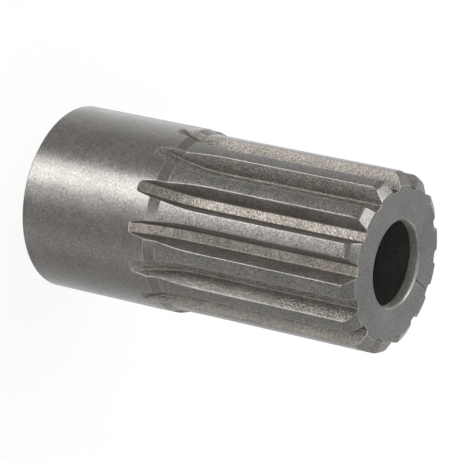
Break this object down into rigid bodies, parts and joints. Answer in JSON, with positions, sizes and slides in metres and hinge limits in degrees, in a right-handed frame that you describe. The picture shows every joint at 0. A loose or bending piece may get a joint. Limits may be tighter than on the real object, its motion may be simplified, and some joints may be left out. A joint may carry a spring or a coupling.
{
  "type": "disengagement shaft",
  "caption": "Hollow steel shaft turned with a plain journal collar and a short cone, with straight external splines that run out into the collar and a chamfered, bored end.",
  "frame": {"origin": "centre of the collar's end face, on the shaft's axis", "axes": "+Z along the shaft's axis from the collar to the splined end, +X through the middle of a spline gap"},
  "size_m": [0.05, 0.05, 0.102],
  "materials": {
    "steel": "satin machined steel, grey, with coarser and browner gap floors"
  },
  "bodies": {
    "root": {"shaft": "steel"}
  },
  "joints": []
}
